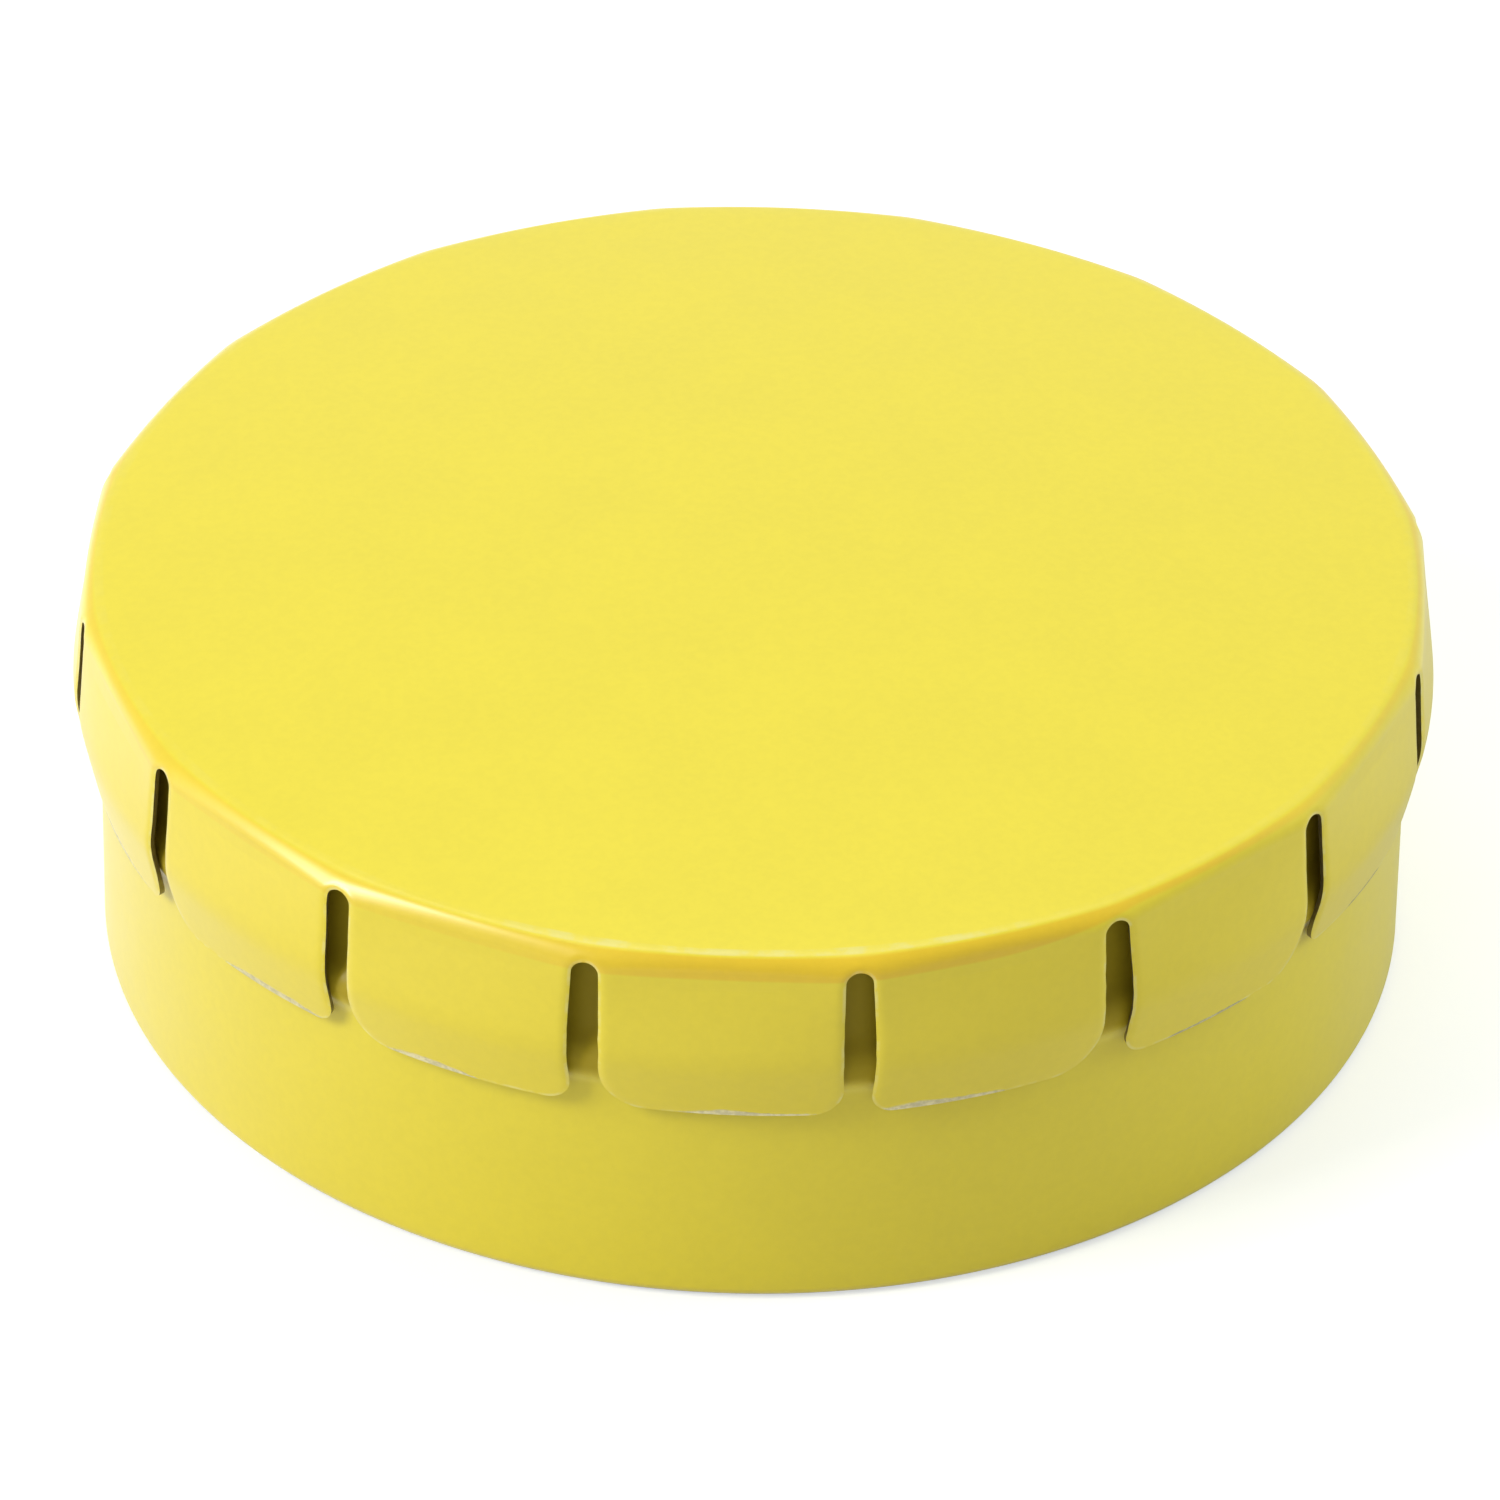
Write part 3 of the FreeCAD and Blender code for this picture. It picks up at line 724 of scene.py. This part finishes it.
def plate_grain():
    """Fine grain of rolled tinplate."""
    inputs = [("Place", PLACE), ("Colour", SHADE), ("Roughness", NUMBER), ("Contrast", NUMBER)]
    outputs = [("Colour", SHADE), ("Roughness", NUMBER), ("Height", NUMBER)]
    tree, entry, leave = new_tree("Plate grain", "ShaderNodeTree", inputs, outputs)
    drawn = put(tree, "ShaderNodeMapping", {"Vector": entry["Place"], "Scale": (60.0, 2400.0, 700.0)})[0]
    streak = noise(tree, drawn, 1.0, 3.0, 0.6)
    cloud = noise(tree, entry["Place"], 180.0, 3.0, 0.5)
    speckle = noise(tree, entry["Place"], 4200.0, 2.0, 0.6)
    grain = between(tree, speckle, 0.35, 0.65, -0.6, 0.8) * entry["Contrast"]
    tone = grain + 1.0 + between(tree, cloud, 0.3, 0.7, -0.05, 0.03)
    feed(tree, leave, {
        "Colour": scaled(tree, entry["Colour"], tone),
        "Roughness": entry["Roughness"] + between(tree, streak, 0.3, 0.7, -0.04, 0.06),
        "Height": streak,
    })
    return tree


def new_material(name):
    material = bpy.data.materials.new(name)
    material.use_nodes = True
    tree = material.node_tree
    place = put(tree, "ShaderNodeTexCoord")["Object"]
    return material, tree, tree.nodes["Principled BSDF"], place


def bump(tree, height, strength, distance):
    return put(tree, "ShaderNodeBump", {"Height": height, "Strength": strength, "Distance": distance})[0]


def opaque(shade):
    return (*shade, 1.0)


def plate(tree, place, shade, roughness, contrast):
    inputs = {"Place": place, "Colour": opaque(shade), "Roughness": roughness, "Contrast": contrast}
    return group_node(tree, "Plate grain", plate_grain, **inputs)


def lacquer_material(name, finish, base, bare, gloss):
    """Yellow lacquer whose bare share shows tinplate; base, bare and gloss are made by the caller's nodes."""
    material, tree, shader, place = new_material(name)
    parts = axes(tree, place)
    shine = gloss(tree, parts)
    skin = group_node(
        tree,
        "Lacquer skin",
        lacquer_skin,
        Place=place,
        Colour=base(tree, place, parts),
        Speck_colour=opaque(finish.speck),
        Roughness=0.86 - shine * 0.5,
    )
    metal = plate(tree, place, finish.tinplate, 0.45, 0.2)
    worn = bare(tree, place, parts)
    feed(tree, shader.inputs, {
        "Base Color": mixed(tree, worn, skin["Colour"], metal["Colour"]),
        "Metallic": worn,
        "Roughness": skin["Roughness"] + worn * 0.10,
        "Coat Weight": (1.0 - worn) * (shine * 0.9),
        "Coat Roughness": 0.33,
        "Specular IOR Level": 0.15,
        "Normal": bump(tree, skin["Height"] - worn * 2.0, 0.35, 0.012 * MM),
    })
    return material


def facing(tree, parts, degrees, low, high, out_low, out_high):
    """A value that changes round the tin with the turn from one direction, given as cosines."""
    turn = calc(tree, "ARCTAN2", parts["Y"], parts["X"])
    towards = (turn - math.radians(degrees)).cosine()
    return between(tree, towards, low, high, out_low, out_high)


def with_painted_glints(tree, place, share, shade, finish):
    """A lacquer's colour with painted glints in it, small pale spots."""
    glints = group_node(tree, "Painted glints", painted_glints, Place=place, Share=share)["Glint"]
    return mixed(tree, glints, shade, opaque(finish.painted_glint_colour))


def worn_edge(tree, place, distance, width, raggedness):
    inputs = {"Place": place, "Distance": distance, "Width": width, "Raggedness": raggedness}
    return group_node(tree, "Edge wear", edge_wear, **inputs)["Bare"]


def stored(tree, name):
    return put(tree, "ShaderNodeAttribute", attribute_name=name)["Fac"]


def lid_material(sizes, finish):
    """Lid lacquer: a deeper band round the crown with a painted highlight above it, painted highlights and
    glints along the punched edges, worn along the tabs' punched lower edges.
    """

    def base(tree, place, parts):
        level = parts["Z"]
        crown_top = sizes.crown_level + sizes.crown_radius
        below_top = between(tree, level, crown_top - 0.13 * MM, crown_top - 0.05 * MM, 1.0, 0.0)
        # The colour is deepest and reaches furthest down on one side of the tin
        limit = facing(tree, parts, 241, 0.57, 0.77, crown_top - 0.25 * MM, sizes.crown_level - 0.05 * MM)
        depth = facing(tree, parts, 279, 0.75, 0.94, 0.50, 1.0)
        drawn = below_top * between(tree, level - limit, -0.07 * MM, 0.07 * MM, 0.16, depth)
        shade = mixed(tree, drawn, opaque(finish.lacquer), opaque(finish.deep_yellow))
        # A painted highlight runs pale along the edge of the top above the deep colour, and a painted
        # highlight runs along the slots' punched edges
        painted_highlight = between(tree, level, crown_top - 0.07 * MM, crown_top - 0.04 * MM)
        painted_highlight = painted_highlight * between(tree, level, crown_top, crown_top + 0.012 * MM, 1.0, 0.0)
        painted_highlight = painted_highlight * between(tree, noise(tree, place, 900.0, 3.0, 0.6), 0.40, 0.60, 0.15, 0.75)
        painted_highlight = painted_highlight * facing(tree, parts, 262, 0.90, 0.97, 0.15, 1.0)
        shade = mixed(tree, painted_highlight, shade, opaque(finish.painted_highlight))
        to_edge = stored(tree, "edge_distance")
        # Painted highlight: a pale patchy line along the punched edges
        painted_rim_highlight = between(tree, noise(tree, place, 1500.0, 2.0, 0.6), 0.40, 0.65, 0.0, 0.30)
        painted_rim_highlight = painted_rim_highlight * between(tree, to_edge, 0.05 * MM, 0.14 * MM, 1.0, 0.0)
        shade = mixed(tree, painted_rim_highlight, shade, opaque(finish.painted_glint_colour))
        # Painted glints: small pale spots near the punched edges
        return with_painted_glints(tree, place, between(tree, to_edge, 0.1 * MM, 0.6 * MM, 0.9, 0.0), shade, finish)

    def bare(tree, place, parts):
        return worn_edge(tree, place, stored(tree, "tip_distance"), finish.wear_width, 0.5)

    def gloss(tree, parts):
        return 1.0

    return lacquer_material("Lid lacquer", finish, base, bare, gloss)


def can_material(sizes, finish):
    """Can lacquer: darkened by painted shade and dull from the ridge up, with painted glints below the tabs,
    darker and rubbed bare at the foot.
    """

    def on_neck(tree, parts, low, high):
        ridge = sizes.ridge_level
        return between(tree, parts["Z"], ridge - 1.1 * MM, ridge - 0.1 * MM, low, high)

    def base(tree, place, parts):
        shade = mixed(tree, 0.08, opaque(finish.lacquer), opaque(finish.deep_yellow))
        # Painted glints: small pale spots below the tabs
        below_tabs = abs(parts["Z"] - (sizes.tip_level - 0.6 * MM))
        shade = with_painted_glints(tree, place, between(tree, below_tabs, 0.3 * MM, 1.2 * MM, 0.4, 0.0), shade, finish)
        # Painted shade: darker from the ridge up, where the lid's tabs shade the neck
        shade = mixed(tree, on_neck(tree, parts, 0.0, 1.0), shade, opaque(finish.neck))
        # Darker along the bottom of the foot
        foot = between(tree, parts["Z"], 0.13 * MM, 0.21 * MM, 0.85, 0.0)
        return mixed(tree, foot, shade, opaque(finish.foot_darkening))

    def bare(tree, place, parts):
        return worn_edge(tree, place, parts["Z"], 0.07 * MM, 0.9)

    def gloss(tree, parts):
        return on_neck(tree, parts, 1.0, 0.15)

    return lacquer_material("Can lacquer", finish, base, bare, gloss)


def plate_material(name, shade, roughness, coat):
    """Tinplate, under a clear lacquer where it has a coat."""
    material, tree, shader, place = new_material(name)
    metal = plate(tree, place, shade, roughness, 0.1)
    feed(tree, shader.inputs, {
        "Base Color": metal["Colour"],
        "Roughness": metal["Roughness"],
        "Metallic": 1.0,
        "Coat Weight": coat,
        "Coat Roughness": 0.12,
        "Normal": bump(tree, metal["Height"], 0.25, 0.006 * MM),
    })
    return material


def finish_named(name, make, *needs):
    return bpy.data.materials.get(name) or make(*needs)


def sheet_finishes(context, outside):
    finish = context.scene.tin_finish
    return {
        "Gauge": context.scene.tin_sizes.gauge,
        "Outside": outside,
        "Inside": finish_named("Inside lacquer", plate_material, "Inside lacquer", finish.inside, 0.30, 0.5),
        "Edge": finish_named("Cut tinplate", plate_material, "Cut tinplate", finish.cut, 0.5, 0.0),
    }


# Pieces


class TIN_OT_can(bpy.types.Operator):
    """Turn the can from its outline"""

    bl_idname = "tin.can"
    bl_label = "Can"

    def execute(self, context):
        sizes = context.scene.tin_sizes
        sheet = sheet_group()
        tree = tree_named("Turned sheet", turned_tree, sheet)
        lacquer = finish_named("Can lacquer", can_material, sizes, context.scene.tin_finish)
        inputs = {"Segments": CAN_SEGMENTS, **sheet_finishes(context, lacquer)}
        can = formed_piece("tin_can", outline_mesh("can_outline", can_points(sizes)), tree, inputs)
        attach(can, "can")
        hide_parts("can")
        return {"FINISHED"}


class LidPatch:
    """One sixteenth of the lid's top, from the middle out to the join with its tab."""

    RIM_ROWS = 22
    DOME_ROWS = 30
    STRIP_ROWS = 3
    SLOT_COLUMNS = 10
    TAB_COLUMNS = 44

    def __init__(self, sizes):
        self.sizes = sizes
        self.line = LidLine(sizes)
        self.half_pitch = math.pi / sizes.tab_count
        self.fold = self.line.on_flare(sizes.fold_level)
        tab_edge = math.asin(sizes.tab_width / 2 / self.fold[0])
        self.slot_angle = self.half_pitch - tab_edge

    def columns(self):
        """Each column's turn from the middle of the tab, and how far above the fold it ends."""
        near = []
        for i in range(self.SLOT_COLUMNS):
            turn = math.pi / 2 * i / self.SLOT_COLUMNS
            rise = self.sizes.slot_end_radius * math.cos(turn)
            near.append((self.half_pitch - self.slot_angle * math.sin(turn), rise))
        middle = []
        for i in range(self.TAB_COLUMNS):
            even = 2 * i / (self.TAB_COLUMNS - 1) - 1
            across = self.sizes.tab_width / 2 * even * (1.5 - 0.5 * even**2)
            middle.append((math.asin(across / self.fold[0]), 0.0))
        left = [(-turn, rise) for turn, rise in near]
        return left + middle + near[::-1]

    def from_slot(self, turn, level):
        """Distance to the edge of the nearer slot."""
        aside = self.sizes.slot_end_radius * (self.half_pitch - abs(turn)) / self.slot_angle
        rise = max(0.0, level - self.fold[1])
        return max(0.0, math.hypot(aside, rise) - self.sizes.slot_end_radius)

    def straightening(self, turn, distance):
        """How far a vertex moves out where the tab's fold is straighter than the round lid."""
        tab_edge = self.half_pitch - self.slot_angle
        over = max(0.0, abs(turn) - tab_edge)
        rounding = distance * math.sin(self.half_pitch) / (2 * self.slot_angle) * over**2
        sag = distance * (1 - math.cos(turn)) - rounding
        deepest = (self.sizes.tab_width / 2) ** 2 / (2 * distance)
        return self.sizes.fold_flatness * (sag - FOLD_SHIFT * deepest)

    def edge_vertex(self, turn, distance, level, facing):
        """A vertex near the edge, rolled in towards the slot."""
        gap = self.from_slot(turn, level)
        near = max(0.0, 1 - gap / self.sizes.roll_width)
        roll = self.sizes.roll_depth * near**2
        lean = facing - self.line.flare_angle
        return (distance - roll * math.cos(lean), turn, level - roll * math.sin(lean)), gap

    def rows(self, turn, rise):
        """One column's vertices from the fold, or the slot's end, up over the crown and in to the middle."""
        rim = self.line.rim_points(self.fold[1] + rise, self.RIM_ROWS)
        top = rim[-1][2]
        made = []
        for distance, level, facing in rim:
            share = (top - facing) / (top - self.line.flare_angle)
            shift = self.straightening(turn, distance) * share
            (distance, _, level), gap = self.edge_vertex(turn, distance, level, facing)
            made.append(((distance + shift, turn, level), gap))
        edge = rim[-1][0]
        for i in range(1, self.DOME_ROWS + 1):
            distance = edge * (1 - i / self.DOME_ROWS)
            made.append(((distance, turn, self.line.dome_point(distance)[1]), 1.0))
        return made

    def strip_rows(self, turn):
        """One column's vertices from the join up to the fold, straight beside the slot."""
        made = []
        across = self.fold[0] * math.sin(turn)
        for i in range(self.STRIP_ROWS):
            level = self.sizes.join_level + (self.fold[1] - self.sizes.join_level) * i / self.STRIP_ROWS
            distance, level = self.line.on_flare(level)
            (distance, _, level), gap = self.edge_vertex(turn, distance, level, self.line.flare_angle)
            beside = math.asin(across / distance)
            ahead = distance * math.cos(beside) + self.straightening(beside, distance)
            made.append(((math.hypot(ahead, across), math.atan2(across, ahead), level), gap))
        return made

    def mesh(self, name, middle):
        """The patch as a mesh, turned to the middle of its tab."""
        columns = self.columns()
        first_tab = self.SLOT_COLUMNS
        last_tab = first_tab + self.TAB_COLUMNS - 1
        vertices = []
        gaps = []
        places = {}

        def vertex(column, row, made):
            (distance, turn, level), gap = made
            places[column, row] = len(vertices)
            vertices.append((distance * math.cos(middle + turn), distance * math.sin(middle + turn), level))
            gaps.append(gap)

        top_row = self.RIM_ROWS + self.DOME_ROWS
        for column, (turn, rise) in enumerate(columns):
            if first_tab <= column <= last_tab:
                for row, made in enumerate(self.strip_rows(turn)):
                    vertex(column, row - self.STRIP_ROWS, made)
            for row, made in enumerate(self.rows(turn, rise)[:-1]):
                vertex(column, row, made)
        apex = len(vertices)
        vertices.append((0.0, 0.0, self.line.dome_point(0.0)[1]))
        gaps.append(1.0)

        faces = []
        for column in range(len(columns) - 1):
            for row in range(-self.STRIP_ROWS, top_row - 1):
                corners = [(column, row), (column + 1, row), (column + 1, row + 1), (column, row + 1)]
                if all(corner in places for corner in corners):
                    faces.append([places[corner] for corner in corners])
            faces.append([places[column, top_row - 1], places[column + 1, top_row - 1], apex])
        mesh = bpy.data.meshes.new(name)
        mesh.from_pydata(vertices, [], faces)
        for label, values in (("edge_distance", gaps), ("tip_distance", [1.0] * len(gaps))):
            mesh.attributes.new(label, "FLOAT", "POINT").data.foreach_set("value", values)
        return mesh


class TIN_OT_lid_top(bpy.types.Operator):
    """Make the domed top of the lid and its rounded edge, in one patch for each tab"""

    bl_idname = "tin.lid_top"
    bl_label = "Lid top"

    def execute(self, context):
        sizes = context.scene.tin_sizes
        patch = LidPatch(sizes)
        lacquer = finish_named("Lid lacquer", lid_material, sizes, context.scene.tin_finish)
        inputs = sheet_finishes(context, lacquer)
        for number in range(1, sizes.tab_count + 1):
            middle = (number - 0.5) * 2 * math.pi / sizes.tab_count
            name = f"lid_top_{number:02d}"
            top = formed_piece(name, patch.mesh(name, middle), sheet_group(), inputs)
            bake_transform(top)
            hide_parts("lid_panel", "lid_shoulder")
        return {"FINISHED"}


class TIN_OT_tabs(bpy.types.Operator):
    """Hang the spring tabs from the lid's edge"""

    bl_idname = "tin.tabs"
    bl_label = "Spring tabs"

    def execute(self, context):
        sizes = context.scene.tin_sizes
        line = LidLine(sizes)
        to_tip = line.tab_depths(TAB_ROWS, CORNER_ROWS)
        points = [line.skirt_point(depth) for depth in to_tip]
        tree = tree_named("Spring tab", tab_tree, sheet_group())
        lacquer = finish_named("Lid lacquer", lid_material, sizes, context.scene.tin_finish)
        for number in range(1, sizes.tab_count + 1):
            middle = (number - 0.5) * 2 * math.pi / sizes.tab_count
            left_bow, right_bow = TAB_BOWS.get(number, OTHER_BOWS)
            left_corner, right_corner = TAB_CORNERS.get(number, OTHER_CORNERS)
            wear_middle, wear_reach = TAB_WEAR.get(number, OTHER_WEAR)
            inputs = {
                "Columns": LidPatch.TAB_COLUMNS,
                "Direction": middle,
                "Width": sizes.tab_width,
                "Left corner": left_corner * MM,
                "Right corner": right_corner * MM,
                "Drop": to_tip[0],
                "Splay": TAB_SPLAY.get(number, 0.0) * MM,
                "Twist": TAB_TWIST.get(number, 0.0) * MM,
                "Left bow": left_bow * MM,
                "Right bow": right_bow * MM,
                "Wear middle": wear_middle,
                "Wear reach": wear_reach,
                "Unevenness": UNEVENNESS,
                "Flatness": sizes.fold_flatness,
                "Edge roll": sizes.roll_depth,
                "Roll width": sizes.roll_width,
                **sheet_finishes(context, lacquer),
            }
            name = f"lid_tab_skin_{number:02d}"
            tab = formed_piece(name, outline_mesh("tab_outline", points, to_tip), tree, inputs)
            towards = Vector((math.cos(middle), math.sin(middle), 0.0)) * points[0][0]
            start = towards + Vector((0.0, 0.0, points[0][1]))
            end = start - Vector((0.0, 0.0, FLEX_LENGTH))
            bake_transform(tab)
            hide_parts(f"lid_tab_{number:02d}")
        return {"FINISHED"}


# Studio


def floor_material():
    """White paper that catches the shadow, reads as white to the camera and glows in reflections as a painted
    reflection.
    """
    material, tree, shader, place = new_material("White paper")
    tone = between(tree, noise(tree, place, 90.0, 4.0, 0.6), 0.3, 0.7, 0.65, 0.67)
    shade = put(tree, "ShaderNodeCombineColor", {0: tone, 1: tone, 2: tone})[0]
    feed(tree, shader.inputs, {"Base Color": shade, "Roughness": 0.9, "Specular IOR Level": 0.1})
    path = put(tree, "ShaderNodeLightPath")
    # For glossy rays the paper glows as a painted reflection, dimmer on the side away from the key lamp and
    # near the tin, where it stands for shade on the paper; this shows in the lacquer's gloss
    from_tin = put(tree, "ShaderNodeVectorMath", {0: place}, operation="LENGTH")["Value"]
    outer = between(tree, from_tin, 0.032, 0.055, 0.0, 0.33)
    mirrored = between(tree, axes(tree, place)["X"], -0.05, 0.05, 0.55, 0.0) + outer
    direct = path["Is Camera Ray"].at_least(path["Is Transmission Ray"]) * 0.57
    strength = (path["Is Glossy Ray"] * mirrored).at_least(direct)
    glow = put(tree, "ShaderNodeEmission", {"Color": (0.95, 0.98, 1.0, 1.0), "Strength": strength})[0]
    paper = Term(tree, shader.outputs[0])
    lit = put(tree, "ShaderNodeAddShader", {0: paper, 1: glow})[0]
    feed(tree, tree.nodes["Material Output"].inputs, {"Surface": lit})
    return material


def soft_lamp(name, power, size, place, tint):
    """A soft box that faces the tin."""
    lamp = bpy.data.lights.new(name, "AREA")
    lamp.shape = "RECTANGLE"
    lamp.size, lamp.size_y = size
    lamp.energy = power
    lamp.color = tint
    holder = bpy.data.objects.new(name, lamp)
    bpy.context.scene.collection.objects.link(holder)
    holder.location = place
    holder.rotation_mode = "QUATERNION"
    holder.rotation_quaternion = (-Vector(place)).to_track_quat("-Z", "Y")
    holder.visible_camera = False
    return holder


class TIN_OT_stage(bpy.types.Operator):
    """Set up the floor, the lamps, the world and the camera"""

    bl_idname = "tin.stage"
    bl_label = "Studio"

    def execute(self, context):
        stage = context.scene.tin_stage
        context.scene.view_settings.view_transform = "Standard"

        floor_mesh = bpy.data.meshes.new("floor")
        corners = arc((0.0, 0.0), FLOOR_RADIUS, 0.0, 2 * math.pi, FLOOR_SIDES)[:-1]
        floor_mesh.from_pydata([(*corner, 0.0) for corner in corners], [], [list(range(FLOOR_SIDES))])
        floor = bpy.data.objects.new("floor", floor_mesh)
        context.scene.collection.objects.link(floor)
        floor.data.materials.append(floor_material())

        key = soft_lamp("key_lamp", stage.key, (0.4, 0.4), (-0.694, -0.147, 0.554), (0.96, 0.96, 0.93))
        key.visible_glossy = False
        gloss = soft_lamp("gloss_lamp", stage.gloss, (0.15, 0.9), (-0.803, -0.178, 0.366), (1.0, 1.0, 1.0))
        gloss.visible_diffuse = False
        soft_lamp("overhead_lamp", stage.overhead, (0.7, 0.4), (0.0, 0.34, 0.94), (1.0, 0.96, 0.92))
        fill = soft_lamp("fill_lamp", stage.fill, (0.7, 0.7), (0.895, 0.142, 0.45), (0.90, 1.0, 0.92))
        fill.visible_glossy = False

        world = bpy.data.worlds.new("studio")
        world.use_nodes = True
        tree = world.node_tree
        path = put(tree, "ShaderNodeLightPath")
        direct = path["Is Camera Ray"].at_least(path["Is Transmission Ray"])
        seen = direct.at_least(path["Is Glossy Ray"] * stage.mirrored)
        strength = seen * (1.0 - stage.ambient) + stage.ambient
        feed(tree, tree.nodes["Background"].inputs, {"Color": (1.0, 1.0, 1.0, 1.0), "Strength": strength})
        context.scene.world = world

        camera = bpy.data.objects.new("camera", bpy.data.cameras.new("camera"))
        context.scene.collection.objects.link(camera)
        camera.data.lens = stage.lens
        camera.data.sensor_width = 36.0
        camera.data.shift_x = stage.shift
        camera.location = stage.distance * Vector((
            math.sin(stage.azimuth) * math.cos(stage.elevation),
            -math.cos(stage.azimuth) * math.cos(stage.elevation),
            math.sin(stage.elevation),
        ))
        ahead = Vector((
            -math.sin(stage.azimuth) * math.cos(stage.pitch),
            math.cos(stage.azimuth) * math.cos(stage.pitch),
            -math.sin(stage.pitch),
        ))
        camera.rotation_mode = "QUATERNION"
        camera.rotation_quaternion = ahead.to_track_quat("-Z", "Y") @ Quaternion((0.0, 0.0, 1.0), stage.roll)
        context.scene.camera = camera
        return {"FINISHED"}


class TIN_PT_panel(bpy.types.Panel):
    """The tin's pieces and sizes"""

    bl_idname = "TIN_PT_panel"
    bl_label = "Press-to-open tin"
    bl_space_type = "VIEW_3D"
    bl_region_type = "UI"
    bl_category = "Tin"

    def draw(self, context):
        for operator in OPERATORS:
            self.layout.operator(operator.bl_idname)
        for group in (context.scene.tin_sizes, context.scene.tin_finish, context.scene.tin_stage):
            box = self.layout.box()
            for name in group.__annotations__:
                box.prop(group, name)


OPERATORS = (TIN_OT_can, TIN_OT_lid_top, TIN_OT_tabs, TIN_OT_stage)
CLASSES = (TinSizes, TinFinish, TinStage, *OPERATORS, TIN_PT_panel)


def register():
    for each in CLASSES:
        bpy.utils.register_class(each)
    bpy.types.Scene.tin_sizes = PointerProperty(type=TinSizes)
    bpy.types.Scene.tin_finish = PointerProperty(type=TinFinish)
    bpy.types.Scene.tin_stage = PointerProperty(type=TinStage)


def unregister():
    del bpy.types.Scene.tin_stage
    del bpy.types.Scene.tin_finish
    del bpy.types.Scene.tin_sizes
    for each in reversed(CLASSES):
        bpy.utils.unregister_class(each)


def main():
    register()
    bpy.ops.tin.can()
    bpy.ops.tin.lid_top()
    bpy.ops.tin.tabs()
    bpy.ops.tin.stage()


if __name__ == "__main__":
    main()
